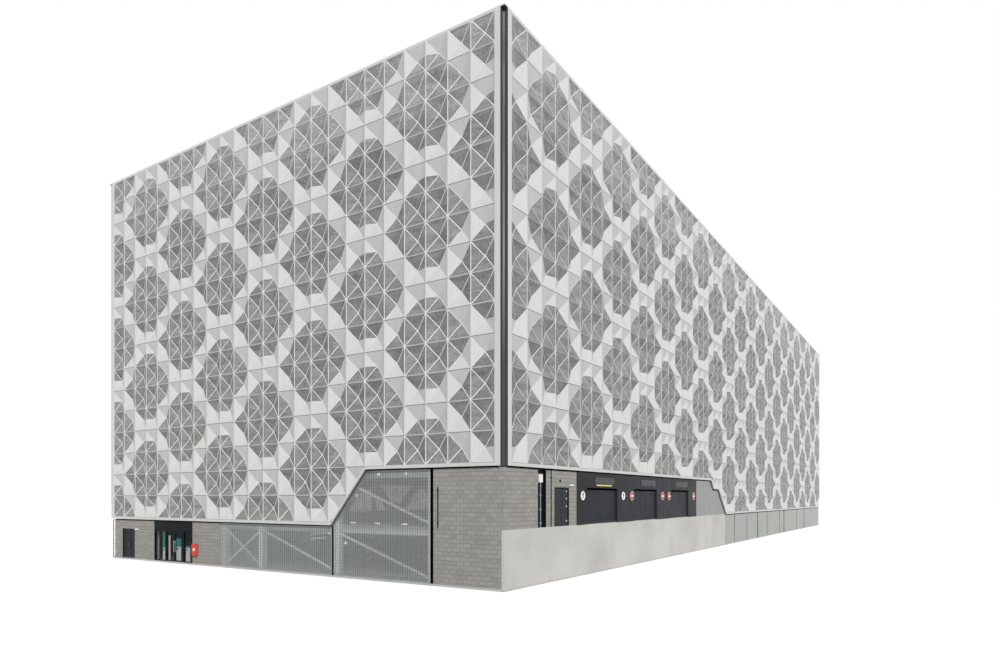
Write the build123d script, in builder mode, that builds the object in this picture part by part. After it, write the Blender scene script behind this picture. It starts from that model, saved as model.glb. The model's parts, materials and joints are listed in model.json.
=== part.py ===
"""Multi storey car park behind screens of folded metal panels, as a 1:10 scale model.

All sizes are millimetres of the model, so 1 mm stands for 10 mm of the building.
+Z is up and z = 0 is the lowest ground at the walls. The long entrance side looks
towards -Y, the short side with the glazed lobby towards -X, and the origin is the
middle of the plan.

The screen is a grid of panels, each folded into a hollow four-sided pyramid. One row
of panels is half a storey. Places along a side are counted in panels from the corner
where the two screens seen from the street meet, and heights in rows from the top.
"""

from build123d import *
import os

os.makedirs("parts", exist_ok=True)

# Folded panels of the screen
panel_width = 138.7
panel_height = 150.0
fold_depth = 22.5
sheet_backing = 5.0
long_side_panels = 64
short_side_panels = 24

# Edges of the screen
corner_notch = 22.5
channel_thickness = 3.0
corner_margin = 57.0
edge_trim_height = 15.0
shadow_gap = 7.5
coping_height = 6.0
coping_width = 30.0

# Storeys, counted in rows of panels from the top of the screen
rows_to_ground = 18
rows_to_street = 16.1
roof_row = 2
storey_rows = 2
upper_rows = 14
lower_rows = 2
deck_thickness = 20.0
ground_slab_thickness = 10.0

# Frame: steel columns between the screen and the decks, posts along the middle
column_width = 40.0
column_depth = 30.0
post_width = 40.0
post_count = 4
beam_depth = 24.0
beam_width = 20.0
brace_width = 14.0
brace_thickness = 5.0

# Walls under the screen
wall_face = 13.5
wall_thickness = 14.0
portal_face = 10.0
panel_joint = 3.0
head_house_top_row = 0.4
head_house_roof = 15.0

# Doorways, in panels along the side and rows from the top
door_thickness = 5.0
door_clearance = 2.5
hinge_clearance = 0.3
door_reveal = 4.0
jamb_width = 5.0

# Sizes worked out from the ones above
screen_depth = fold_depth + sheet_backing
building_length = 2 * corner_margin + long_side_panels * panel_width
building_width = 2 * corner_margin + short_side_panels * panel_width
deck_edge = screen_depth + column_depth
wall_back = wall_face + wall_thickness
storey_height = storey_rows * panel_height


def level(rows):
    """Height of a line that lies so many rows below the top of the screen."""
    return (rows_to_ground - rows) * panel_height


def along(panels):
    """Distance from the building's corner to a panel joint."""
    return corner_margin + panels * panel_width


def along_west(panels):
    """The same on the short street side, which is drawn from its far end."""
    return building_width - along(panels)


screen_top = level(0)
street_level = level(rows_to_street)
upper_edge = level(upper_rows)
lower_edge = level(upper_rows + lower_rows)
upper_trim_foot = upper_edge - edge_trim_height
lower_trim_foot = lower_edge - edge_trim_height
upper_wall_top = upper_trim_foot - shadow_gap
lower_wall_top = lower_trim_foot - shadow_gap
deck_count = int((rows_to_ground - roof_row) / storey_rows)
deck_tops = [street_level + storey_height * number for number in range(deck_count)]
storey_floors = [ground_slab_thickness] + deck_tops
storey_ceilings = [top - deck_thickness for top in deck_tops]
roof_level = deck_tops[-1]
head_house_top = level(head_house_top_row)

# The four sides as planes: x to the right and y up as seen from outside
half_length = building_length / 2
half_width = building_width / 2
south = Plane((-half_length, -half_width, 0), x_dir=(1, 0, 0), z_dir=(0, -1, 0))
east = Plane((half_length, -half_width, 0), x_dir=(0, 1, 0), z_dir=(1, 0, 0))
north = Plane((half_length, half_width, 0), x_dir=(-1, 0, 0), z_dir=(0, 1, 0))
west = Plane((-half_length, half_width, 0), x_dir=(0, -1, 0), z_dir=(-1, 0, 0))


def add_block(side, left, right, low, high, near, far):
    """A plain block behind a side, from one depth to another."""
    with BuildSketch(side.offset(-near)) as outline:
        with Locations(((left + right) / 2, (low + high) / 2)):
            Rectangle(right - left, high - low)
    extrude(outline.sketch, amount=near - far)


def add_outline(side, points, near, far, mode=Mode.ADD):
    """A block with any straight-edged outline on a side."""
    with BuildSketch(side.offset(-near)) as outline:
        with BuildLine():
            Polyline(*points, close=True)
        make_face()
    extrude(outline.sketch, amount=near - far, mode=mode)


def folds(count, pitch):
    """Corners of a zigzag: an outer edge at each panel joint, an inner one between."""
    corners = [(0, 0)]
    for number in range(count):
        corners.append(((number + 0.5) * pitch, fold_depth))
        corners.append(((number + 1) * pitch, 0))
    return corners


def add_folded_sheet(side, left, panels, low, rows):
    """Upright and level grooves in one sheet: where they cross, they leave pyramids."""
    start = side.from_local_coords((left, low, 0))
    inward = side.z_dir * -1
    sheet_width = panels * panel_width
    sheet_height = rows * panel_height
    with BuildSketch(Plane(start, x_dir=side.x_dir, z_dir=(0, 0, 1))) as upright:
        back = [(sheet_width, screen_depth), (0, screen_depth)]
        with BuildLine():
            Polyline(*folds(panels, panel_width), *back, close=True)
        make_face()
    extrude(upright.sketch, amount=sheet_height)
    with BuildSketch(Plane(start, x_dir=inward, z_dir=side.x_dir)) as level_grooves:
        profile = [(depth, height) for height, depth in folds(rows, panel_height)]
        back = [(screen_depth, sheet_height), (screen_depth, 0)]
        with BuildLine():
            Polyline(*profile, *back, close=True)
        make_face()
    extrude(level_grooves.sketch, amount=sheet_width)


def add_column(side, centre, low, high):
    """A boxed steel column between the back of the screen and the deck edges."""
    add_block(side, centre - column_width / 2, centre + column_width / 2, low, high,
              screen_depth, deck_edge)


def save(part, name):
    part.label = name
    export_step(part, "parts/" + name + ".step")


# Ground slab, the entrance deck at street level, six parking decks and the roof deck
slab_length = building_length - 2 * wall_face
slab_width = building_width - 2 * wall_face
deck_length = building_length - 2 * deck_edge
deck_width = building_width - 2 * deck_edge

with BuildPart() as ground_slab:
    with BuildSketch(Plane.XY):
        Rectangle(slab_length, slab_width)
    extrude(amount=ground_slab_thickness)
save(ground_slab.part, "ground_slab")

with BuildPart() as entrance_deck:
    with BuildSketch(Plane.XY.offset(street_level)):
        Rectangle(deck_length, deck_width)
    extrude(amount=-deck_thickness)
save(entrance_deck.part, "entrance_deck")

with BuildPart() as parking_decks:
    for top in deck_tops[1:-1]:
        with BuildSketch(Plane.XY.offset(top)):
            Rectangle(deck_length, deck_width)
        extrude(amount=-deck_thickness)
save(parking_decks.part, "parking_decks")

with BuildPart() as roof_deck:
    with BuildSketch(Plane.XY.offset(roof_level)):
        Rectangle(deck_length, deck_width)
    extrude(amount=-deck_thickness)
save(roof_deck.part, "roof_deck")

# Entrance sill: the strip of floor that runs out under the walls on the street side
portal_end = 26.0
with BuildPart() as entrance_sill:
    add_block(south, wall_face, along(portal_end), street_level - deck_thickness,
              street_level, wall_face, wall_back)
    add_block(south, wall_back, along(portal_end), street_level - deck_thickness,
              street_level, wall_back, deck_edge)
save(entrance_sill.part, "entrance_sill")

# Steel columns: on the street side they stand on the sill as far as it goes
column_top = level(0.3)
south_column_lines = [0.15, 5.2, 9.65, 14.55, 19.1, 25.6]
south_column_lines += [32.0, 38.4, 44.8, 51.2, 57.6, 63.85]
west_column_lines = [0.15, 2.9, 7.75, 12.4, 15.0, 20.7, 23.85]
north_column_lines = [0.15, 9.25, 18.35, 27.45, 36.55, 45.65, 54.75, 63.85]
east_column_lines = [0.15, 6.075, 12.0, 17.925, 23.85]

with BuildPart() as perimeter_columns:
    for line in south_column_lines:
        foot = street_level if line < portal_end else ground_slab_thickness
        add_column(south, along(line), foot, column_top)
    for line in west_column_lines:
        add_column(west, along_west(line), ground_slab_thickness, column_top)
    for line in north_column_lines:
        add_column(north, along(line), ground_slab_thickness, column_top)
    for line in east_column_lines:
        add_column(east, along(line), ground_slab_thickness, column_top)
save(perimeter_columns.part, "perimeter_columns")

# Storey-high posts along the middle of the plan, under every deck
with BuildPart() as middle_posts:
    post_pitch = building_length / (post_count + 1)
    for floor, ceiling in zip(storey_floors, storey_ceilings):
        with BuildSketch(Plane.XY.offset(floor)):
            with GridLocations(post_pitch, 0, post_count, 1):
                Rectangle(post_width, post_width)
        extrude(amount=ceiling - floor)
save(middle_posts.part, "middle_posts")

# Stair cores: one at the street corner, one behind the lobby at the other end
core_width = 4.85
corner_core_end = 2.72
lobby_core_start = 15.2
core_east = along(core_width)
corner_core_north = along(corner_core_end)
lobby_core_south = along(lobby_core_start)
head_house_ceiling = head_house_top - head_house_roof
core_floors = storey_floors
core_ceilings = storey_ceilings + [head_house_ceiling]


def add_core_wall(x_low, x_high, y_low, y_high, floor, ceiling):
    """A plain wall of one storey, placed from the building's street corner."""
    centre_x = (x_low + x_high) / 2 - half_length
    centre_y = (y_low + y_high) / 2 - half_width
    with BuildSketch(Plane((centre_x, centre_y, floor))) as plan:
        Rectangle(x_high - x_low, y_high - y_low)
    extrude(plan.sketch, amount=ceiling - floor)


with BuildPart() as core_cross_walls:
    for storey, (floor, ceiling) in enumerate(zip(core_floors, core_ceilings)):
        start = wall_back if storey < 2 else deck_edge
        add_core_wall(start, core_east, corner_core_north - wall_thickness,
                      corner_core_north, floor, ceiling)
        start = wall_back if storey < 1 else deck_edge
        add_core_wall(start, core_east, lobby_core_south,
                      lobby_core_south + wall_thickness, floor, ceiling)
    add_core_wall(deck_edge, core_east, deck_edge, deck_edge + wall_thickness,
                  roof_level, head_house_ceiling)
    add_core_wall(deck_edge, core_east, building_width - deck_edge - wall_thickness,
                  building_width - deck_edge, roof_level, head_house_ceiling)
save(core_cross_walls.part, "core_cross_walls")

with BuildPart() as core_side_walls:
    for storey, (floor, ceiling) in enumerate(zip(core_floors, core_ceilings)):
        head_house = floor == roof_level
        start = deck_edge + wall_thickness if head_house else deck_edge
        end = building_width - start
        if storey < 1:
            end = building_width - wall_back
        add_core_wall(core_east - wall_thickness, core_east, start,
                      corner_core_north - wall_thickness, floor, ceiling)
        add_core_wall(core_east - wall_thickness, core_east,
                      lobby_core_south + wall_thickness, end, floor, ceiling)
        if head_house:
            add_core_wall(deck_edge, deck_edge + wall_thickness, start,
                          corner_core_north - wall_thickness, floor, ceiling)
            add_core_wall(deck_edge, deck_edge + wall_thickness,
                          lobby_core_south + wall_thickness, end, floor, ceiling)
save(core_side_walls.part, "core_side_walls")

with BuildPart() as head_house_roofs:
    add_core_wall(deck_edge, core_east, deck_edge, corner_core_north,
                  head_house_ceiling, head_house_top)
    add_core_wall(deck_edge, core_east, lobby_core_south, building_width - deck_edge,
                  head_house_ceiling, head_house_top)
save(head_house_roofs.part, "head_house_roofs")

# Edge beams under the decks on the two short sides, between the cores on the west
with BuildPart() as edge_beams:
    for ceiling in storey_ceilings:
        add_block(west, along_west(lobby_core_start), along_west(corner_core_end),
                  ceiling - beam_depth, ceiling, deck_edge, deck_edge + beam_width)
        add_block(east, deck_edge, building_width - deck_edge,
                  ceiling - beam_depth, ceiling, deck_edge, deck_edge + beam_width)
save(edge_beams.part, "edge_beams")


def add_brace(first_line, first_level, second_line, second_level, near):
    """A flat steel diagonal from the side of one column to the side of the next."""
    first = along_west(first_line) - column_width / 2
    second = along_west(second_line) + column_width / 2
    half = brace_width / 2
    corners = [(second, second_level - half), (first, first_level - half),
               (first, first_level + half), (second, second_level + half)]
    add_outline(west, corners, near, near + brace_thickness)


# Diagonals that show behind the mesh on the short street side
brace_outer = screen_depth + 5.0
brace_inner = brace_outer + brace_thickness + 3.0
brace_margin = 25.0
street_foot = street_level + brace_margin
street_head = storey_ceilings[1] - brace_margin
ground_foot = ground_slab_thickness + brace_margin
ground_head = storey_ceilings[0] - brace_margin

with BuildPart() as wind_braces:
    add_brace(2.9, street_foot, 7.75, street_head, brace_outer)
    add_brace(2.9, ground_foot, 7.75, ground_head, brace_outer)
    add_brace(7.75, ground_foot, 12.4, ground_head, brace_outer)
    add_brace(12.4, ground_foot, 15.0, ground_head, brace_outer)
    add_brace(12.4, ground_head, 15.0, ground_foot, brace_inner)
save(wind_braces.part, "wind_braces")

# Screens of folded panels. The upper part goes round the building, the lower part
# starts where the ground falls, behind a sloping or a stepped edge.
with BuildPart() as south_cladding:
    add_folded_sheet(south, corner_margin, long_side_panels, upper_edge, upper_rows)
save(south_cladding.part, "south_cladding")

with BuildPart() as west_cladding:
    add_folded_sheet(west, corner_margin, short_side_panels, upper_edge, upper_rows)
save(west_cladding.part, "west_cladding")

with BuildPart() as north_cladding:
    add_folded_sheet(north, corner_margin, long_side_panels, lower_edge,
                     upper_rows + lower_rows)
save(north_cladding.part, "north_cladding")

with BuildPart() as east_cladding:
    add_folded_sheet(east, corner_margin, short_side_panels, lower_edge,
                     upper_rows + lower_rows)
save(east_cladding.part, "east_cladding")

# Lower edge of the south screen, left to right: it steps down past the entrances
step_start = 22.6
step_shelf_start = 23.2
step_shelf_end = 24.2
step_shelf = level(14.5)
south_step = [(along(step_start), upper_edge), (along(step_shelf_start), step_shelf),
              (along(step_shelf_end), step_shelf), (along(portal_end), lower_edge)]
south_step_panel = int(step_start)

with BuildPart() as south_lower_cladding:
    add_folded_sheet(south, along(south_step_panel), long_side_panels - south_step_panel,
                     lower_edge, lower_rows)
    add_outline(south, south_step + [(along(long_side_panels), lower_edge),
                                     (along(long_side_panels), upper_edge)],
                0, screen_depth, Mode.INTERSECT)
save(south_lower_cladding.part, "south_lower_cladding")

# Lower edge of the west screen: one slope, then level
slope_start = 6.0
slope_end = 7.9
west_slope = [(along_west(slope_end), lower_edge), (along_west(slope_start), upper_edge)]

with BuildPart() as west_lower_cladding:
    slope_panels = short_side_panels - int(slope_start)
    add_folded_sheet(west, corner_margin, slope_panels, lower_edge, lower_rows)
    add_outline(west, [(corner_margin, lower_edge)] + west_slope +
                [(corner_margin, upper_edge)], 0, screen_depth, Mode.INTERSECT)
save(west_lower_cladding.part, "west_lower_cladding")


def lowered(points, drop):
    return [(x, y - drop) for x, y in points]


# White trims: a band under the screens, uprights at the corners, a coping on top
with BuildPart() as lower_edge_trims:
    south_edge = [(corner_margin, upper_edge)] + south_step
    south_edge += [(building_length - corner_margin, lower_edge)]
    add_outline(south, south_edge + lowered(south_edge, edge_trim_height)[::-1],
                0, screen_depth)
    west_edge = [(corner_margin, lower_edge)] + west_slope
    west_edge += [(building_width - corner_margin, upper_edge)]
    add_outline(west, west_edge + lowered(west_edge, edge_trim_height)[::-1],
                0, screen_depth)
    add_block(north, corner_margin, building_length - corner_margin,
              lower_trim_foot, lower_edge, 0, screen_depth)
    add_block(east, corner_margin, building_width - corner_margin,
              lower_trim_foot, lower_edge, 0, screen_depth)
save(lower_edge_trims.part, "lower_edge_trims")

corner_trim_depth = corner_notch + channel_thickness

with BuildPart() as corner_trims:
    for side, side_length, left_foot, right_foot in (
            (south, building_length, upper_trim_foot, lower_trim_foot),
            (east, building_width, lower_trim_foot, lower_trim_foot),
            (north, building_length, lower_trim_foot, lower_trim_foot),
            (west, building_width, lower_trim_foot, upper_trim_foot)):
        add_block(side, corner_trim_depth, corner_margin, left_foot, screen_top,
                  0, corner_trim_depth)
        add_block(side, side_length - corner_margin, side_length - corner_trim_depth,
                  right_foot, screen_top, 0, corner_trim_depth)
save(corner_trims.part, "corner_trims")

# Dark angles that line the open notch at each corner of the screens
with BuildPart() as corner_channels:
    for side, foot in ((south, upper_trim_foot), (east, lower_trim_foot),
                       (north, lower_trim_foot), (west, lower_trim_foot)):
        corner = side.from_local_coords((0, foot, 0))
        with BuildSketch(Plane(corner, x_dir=side.x_dir, z_dir=(0, 0, 1))) as angle:
            Rectangle(corner_trim_depth, corner_trim_depth, align=Align.MIN)
            Rectangle(corner_notch, corner_notch, align=Align.MIN, mode=Mode.SUBTRACT)
        extrude(angle.sketch, amount=screen_top - foot)
save(corner_channels.part, "corner_channels")

with BuildPart() as copings:
    with BuildSketch(Plane.XY.offset(screen_top)):
        Rectangle(building_length, building_width)
        Rectangle(building_length - 2 * coping_width, building_width - 2 * coping_width,
                  mode=Mode.SUBTRACT)
    extrude(amount=coping_height)
save(copings.part, "copings")

# Street side: blockwork with a recess for the rainwater pipe and a steel double door
recess_start = 1.87
recess_end = 2.45
south_door_start = 3.07
south_door_end = 4.22
south_door_head = level(14.73)
portal_start = 4.85

with BuildPart() as south_blockwork:
    add_block(south, wall_face, along(recess_start), street_level, upper_wall_top,
              wall_face, wall_back)
    add_block(south, along(recess_end), along(south_door_start), street_level,
              upper_wall_top, wall_face, wall_back)
    add_block(south, along(south_door_end), along(portal_start), street_level,
              upper_wall_top, wall_face, wall_back)
save(south_blockwork.part, "south_blockwork")

with BuildPart() as door_lintels:
    add_block(south, along(south_door_start), along(south_door_end), south_door_head,
              upper_wall_top, wall_face, wall_back)
    louvre_door_start = 22.2
    louvre_door_end = 23.35
    louvre_door_head = level(16.55)
    add_block(west, along_west(louvre_door_end), along_west(louvre_door_start),
              louvre_door_head, lower_wall_top, wall_face, wall_back)
save(door_lintels.part, "door_lintels")

recess_panel_thickness = 3.0
with BuildPart() as recess_panel:
    add_block(south, along(recess_start), along(recess_end), street_level, upper_wall_top,
              wall_back - recess_panel_thickness, wall_back)
save(recess_panel.part, "recess_panel")

# Rainwater pipe with its hopper head, in the recess, held by two brackets
pipe_width = 8.0
hopper_width = 34.0
hopper_height = 42.0
hopper_depth = 8.0
pipe_centre = 2.12
hopper_top = level(14.3)
pipe_back = wall_back - recess_panel_thickness - 1.5
bracket_levels = [level(15.2), level(15.65)]
bracket_width = 16.0
bracket_height = 3.0

with BuildPart() as rainwater_pipe:
    pipe_line = along(pipe_centre)
    add_block(south, pipe_line - pipe_width / 2, pipe_line + pipe_width / 2, street_level,
              hopper_top - hopper_height, pipe_back - pipe_width, pipe_back)
    with BuildSketch(Plane(south.from_local_coords((pipe_line, hopper_top, 0)))) as mouth:
        with Locations((0, pipe_back - hopper_depth / 2)):
            Rectangle(hopper_width, hopper_depth)
    extrude(mouth.sketch, amount=-hopper_height)
    for bracket in bracket_levels:
        add_block(south, pipe_line - bracket_width / 2, pipe_line + bracket_width / 2,
                  bracket, bracket + bracket_height, pipe_back - pipe_width,
                  wall_back - recess_panel_thickness)
save(rainwater_pipe.part, "rainwater_pipe")

# Dark portal with the three vehicle entrances
shutter_bays = [(5.7, 8.7), (10.6, 13.5), (15.6, 18.4)]
portal_stop = 19.85
shutter_head = level(14.72)
pier_lines = [portal_start]
for bay_start, bay_end in shutter_bays:
    pier_lines += [bay_start, bay_end]
pier_lines.append(portal_stop)

with BuildPart() as portal_lintel:
    add_block(south, along(portal_start), along(portal_stop), shutter_head,
              upper_wall_top, portal_face, wall_back)
save(portal_lintel.part, "portal_lintel")

with BuildPart() as portal_piers:
    for pier_start, pier_end in zip(pier_lines[::2], pier_lines[1::2]):
        add_block(south, along(pier_start), along(pier_end), street_level, shutter_head,
                  portal_face, wall_back)
save(portal_piers.part, "portal_piers")

# Roller shutters: curtains of curved slats, drawn as a fine zigzag, set back
slat_count = 12
slat_depth = 1.5
shutter_face = 19.0
shutter_thickness = 5.0

with BuildPart() as roller_shutters:
    slat_pitch = (shutter_head - street_level) / slat_count
    for bay_start, bay_end in shutter_bays:
        corner = south.from_local_coords((along(bay_start), street_level, -shutter_face))
        profile = [(shutter_thickness, 0), (0, 0)]
        for slat in range(slat_count):
            profile.append((-slat_depth, (slat + 0.5) * slat_pitch))
            profile.append((0, (slat + 1) * slat_pitch))
        profile.append((shutter_thickness, shutter_head - street_level))
        with BuildSketch(Plane(corner, x_dir=(0, 1, 0), z_dir=(1, 0, 0))) as curtain:
            with BuildLine():
                Polyline(*profile, close=True)
            make_face()
        extrude(curtain.sketch, amount=along(bay_end) - along(bay_start))
save(roller_shutters.part, "roller_shutters")

# Pale panels between the portal and the stepped edge, and the wall below street level
panel_edge_gap = edge_trim_height + shadow_gap
with BuildPart() as pale_panels:
    top_edge = lowered(south_step, panel_edge_gap)
    top_edge[-1] = (along(portal_end), street_level)
    add_outline(south, [(along(portal_stop), street_level),
                        (along(portal_stop), upper_wall_top)] + top_edge,
                wall_face, wall_back)
save(pale_panels.part, "pale_panels")

with BuildPart() as retaining_wall:
    add_block(south, wall_face, along(portal_end), ground_slab_thickness,
              street_level - deck_thickness, wall_face, wall_back)
save(retaining_wall.part, "retaining_wall")

plinth_panel_count = 10
with BuildPart() as plinth_panels:
    plinth_start = along(portal_end) + panel_joint
    plinth_end = building_length - wall_back
    plinth_pitch = (plinth_end - plinth_start + panel_joint) / plinth_panel_count
    for number in range(plinth_panel_count):
        left = plinth_start + number * plinth_pitch
        add_block(south, left, left + plinth_pitch - panel_joint, ground_slab_thickness,
                  lower_wall_top, wall_face, wall_back)
save(plinth_panels.part, "plinth_panels")

# Short street side: blockwork at both ends, mesh screens, the glazed lobby
corner_block_end = 2.72
mesh_start = 2.8
mesh_end = 15.15
lobby_start = 17.25
lobby_end = 20.45

with BuildPart() as west_blockwork:
    add_block(west, along_west(corner_block_end), building_width - wall_back,
              ground_slab_thickness, upper_wall_top, wall_face, wall_back)
    add_block(west, along_west(lobby_start), along_west(lobby_core_start),
              ground_slab_thickness, lower_wall_top, wall_face, wall_back)
    add_block(west, along_west(louvre_door_start), along_west(lobby_end),
              ground_slab_thickness, lower_wall_top, wall_face, wall_back)
    add_block(west, wall_face, along_west(louvre_door_end),
              ground_slab_thickness, lower_wall_top, wall_face, wall_back)
save(west_blockwork.part, "west_blockwork")

# Mesh screens: a frame round a thin sheet that stands for the welded mesh
mesh_face = 17.0
mesh_frame_width = 6.0
mesh_frame_depth = 6.0
mesh_thickness = 1.5


def add_mesh_screen(side, corners):
    """A framed panel; its sheet lies in the middle of the frame's depth."""
    with BuildSketch(side.offset(-mesh_face)) as frame:
        with BuildLine():
            Polyline(*corners, close=True)
        make_face()
        offset(amount=-mesh_frame_width, mode=Mode.SUBTRACT)
    extrude(frame.sketch, amount=-mesh_frame_depth)
    sheet_face = mesh_face + (mesh_frame_depth - mesh_thickness) / 2
    add_outline(side, corners, sheet_face, sheet_face + mesh_thickness)


mesh_foot = ground_slab_thickness

with BuildPart() as mesh_screens:
    add_mesh_screen(west, [(along_west(slope_end), mesh_foot),
                           (along_west(mesh_start), mesh_foot),
                           (along_west(mesh_start), upper_wall_top),
                           (along_west(slope_start), upper_wall_top),
                           (along_west(slope_end), lower_wall_top)])
    add_mesh_screen(west, [(along_west(mesh_end), mesh_foot),
                           (along_west(slope_end) - panel_joint, mesh_foot),
                           (along_west(slope_end) - panel_joint, lower_wall_top),
                           (along_west(mesh_end), lower_wall_top)])
save(mesh_screens.part, "mesh_screens")

# Hidden sides: the same blockwork and mesh in turn under the screens
north_mesh_bays = [(6.0, 20.0), (28.0, 42.0), (50.0, 58.0)]
east_mesh_bays = [(6.0, 18.0)]


def wall_runs(bays, side_length):
    """The stretches of wall that the mesh bays leave, from corner to corner."""
    edges = [wall_face]
    for bay_start, bay_end in bays:
        edges += [along(bay_start), along(bay_end)]
    edges.append(side_length - wall_back)
    return zip(edges[::2], edges[1::2])


with BuildPart() as rear_blockwork:
    for side, side_length, bays in ((north, building_length, north_mesh_bays),
                                    (east, building_width, east_mesh_bays)):
        for run_start, run_end in wall_runs(bays, side_length):
            add_block(side, run_start, run_end, ground_slab_thickness, lower_wall_top,
                      wall_face, wall_back)
save(rear_blockwork.part, "rear_blockwork")

with BuildPart() as rear_mesh_screens:
    for side, bays in ((north, north_mesh_bays), (east, east_mesh_bays)):
        for bay_start, bay_end in bays:
            add_mesh_screen(side, [(along(bay_start), mesh_foot), (along(bay_end), mesh_foot),
                                   (along(bay_end), lower_wall_top),
                                   (along(bay_start), lower_wall_top)])
save(rear_mesh_screens.part, "rear_mesh_screens")

# Glazed lobby: uprights, fascia and rails, panes beside a pair of hinged doors
lobby_door_start = 18.03
lobby_door_end = 19.42
lobby_door_head = level(16.62)
fascia_foot = level(16.55)
glazing_face = 15.0
glazing_back = wall_back
upright_width = 7.0
rail_height = 6.0
glass_thickness = 2.0
glass_face = 20.0

lobby_uprights = [along_west(lobby_end), along_west(lobby_door_end) - upright_width,
                  along_west(lobby_door_start), along_west(lobby_start) - upright_width]

with BuildPart() as lobby_posts:
    for left in lobby_uprights:
        add_block(west, left, left + upright_width, ground_slab_thickness, fascia_foot,
                  glazing_face, glazing_back)
save(lobby_posts.part, "lobby_posts")

with BuildPart() as lobby_fascia:
    add_block(west, along_west(lobby_end), along_west(lobby_start), fascia_foot,
              lower_wall_top, glazing_face, glazing_back)
save(lobby_fascia.part, "lobby_fascia")

with BuildPart() as lobby_rails:
    for left, right in ((lobby_uprights[0] + upright_width, lobby_uprights[1]),
                        (lobby_uprights[2] + upright_width, lobby_uprights[3])):
        add_block(west, left, right, ground_slab_thickness,
                  ground_slab_thickness + rail_height, glazing_face, glazing_back)
        add_block(west, left, right, fascia_foot - rail_height, fascia_foot,
                  glazing_face, glazing_back)
    add_block(west, along_west(lobby_door_end), along_west(lobby_door_start),
              lobby_door_head, fascia_foot, glazing_face, glazing_back)
save(lobby_rails.part, "lobby_rails")

with BuildPart() as lobby_glass:
    for left, right in ((lobby_uprights[0] + upright_width, lobby_uprights[1]),
                        (lobby_uprights[2] + upright_width, lobby_uprights[3])):
        add_block(west, left, right, ground_slab_thickness + rail_height,
                  fascia_foot - rail_height, glass_face, glass_face + glass_thickness)
save(lobby_glass.part, "lobby_glass")

# Door frames: two jambs and a head in each blockwork doorway
doorways = [
    (south, along(south_door_start), along(south_door_end), street_level, south_door_head),
    (west, along_west(louvre_door_end), along_west(louvre_door_start),
     ground_slab_thickness, louvre_door_head),
]
frame_joint = 0.3

with BuildPart() as door_frames:
    for side, left, right, foot, head in doorways:
        add_block(side, left, left + jamb_width, foot, head - jamb_width - frame_joint,
                  wall_face, wall_back)
        add_block(side, right - jamb_width, right, foot, head - jamb_width - frame_joint,
                  wall_face, wall_back)
        add_block(side, left, right, head - jamb_width, head, wall_face, wall_back)
save(door_frames.part, "door_frames")


def leaf_edges(left, right):
    """The two leaves of a pair: close to the jambs at the hinges, apart in the middle."""
    middle = (left + right) / 2
    return ((left + hinge_clearance, middle - door_clearance / 2),
            (middle + door_clearance / 2, right - hinge_clearance))


# Steel double door on the street side: plain leaves with a pressed edge
door_face = wall_face + door_reveal
steel_leaves = leaf_edges(along(south_door_start) + jamb_width,
                          along(south_door_end) - jamb_width)
steel_foot = street_level + door_clearance
steel_head = south_door_head - jamb_width - door_clearance

with BuildPart() as south_door_left:
    add_block(south, *steel_leaves[0], steel_foot, steel_head, door_face,
              door_face + door_thickness)
save(south_door_left.part, "south_door_left")

with BuildPart() as south_door_right:
    add_block(south, *steel_leaves[1], steel_foot, steel_head, door_face,
              door_face + door_thickness)
save(south_door_right.part, "south_door_right")

# Louvred double door of the plant room
louvre_leaves = leaf_edges(along_west(louvre_door_end) + jamb_width,
                           along_west(louvre_door_start) - jamb_width)
louvre_foot = ground_slab_thickness + door_clearance
louvre_head = louvre_door_head - jamb_width - door_clearance
stile_width = 7.0
blade_count = 12


def add_louvred_leaf(left, right):
    """Stiles and rails round sloping blades that shed the rain outwards."""
    inner_foot = louvre_foot + stile_width
    inner_height = louvre_head - louvre_foot - 2 * stile_width
    with BuildSketch(west.offset(-door_face)) as frame:
        with Locations(((left + right) / 2, (louvre_foot + louvre_head) / 2)):
            Rectangle(right - left, louvre_head - louvre_foot)
            Rectangle(right - left - 2 * stile_width, inner_height, mode=Mode.SUBTRACT)
    extrude(frame.sketch, amount=-door_thickness)
    blade_pitch = inner_height / blade_count
    for number in range(blade_count):
        low = inner_foot + (number + 0.1) * blade_pitch
        start = west.from_local_coords((left + stile_width, 0, -door_face))
        corners = [(0, low), (door_thickness, low + blade_pitch * 0.5),
                   (door_thickness, low + blade_pitch * 0.8), (0, low + blade_pitch * 0.3)]
        with BuildSketch(Plane(start, x_dir=(1, 0, 0), z_dir=(0, -1, 0))) as blade:
            with BuildLine():
                Polyline(*corners, close=True)
            make_face()
        extrude(blade.sketch, amount=right - left - 2 * stile_width)


with BuildPart() as louvred_door_left:
    add_louvred_leaf(*louvre_leaves[0])
save(louvred_door_left.part, "louvred_door_left")

with BuildPart() as louvred_door_right:
    add_louvred_leaf(*louvre_leaves[1])
save(louvred_door_right.part, "louvred_door_right")

# Lobby doors: framed leaves and their panes
lobby_leaves = leaf_edges(along_west(lobby_door_end), along_west(lobby_door_start))
lobby_leaf_foot = ground_slab_thickness + door_clearance
lobby_leaf_head = lobby_door_head - door_clearance
lobby_leaf_face = glazing_face + 2.0
lobby_stile = 6.0


def add_lobby_leaf(left, right):
    with BuildSketch(west.offset(-lobby_leaf_face)) as frame:
        with Locations(((left + right) / 2, (lobby_leaf_foot + lobby_leaf_head) / 2)):
            Rectangle(right - left, lobby_leaf_head - lobby_leaf_foot)
            Rectangle(right - left - 2 * lobby_stile,
                      lobby_leaf_head - lobby_leaf_foot - 2 * lobby_stile,
                      mode=Mode.SUBTRACT)
    extrude(frame.sketch, amount=-door_thickness)


def add_lobby_pane(left, right):
    near = lobby_leaf_face + (door_thickness - glass_thickness) / 2
    add_block(west, left + lobby_stile, right - lobby_stile, lobby_leaf_foot + lobby_stile,
              lobby_leaf_head - lobby_stile, near, near + glass_thickness)


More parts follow.
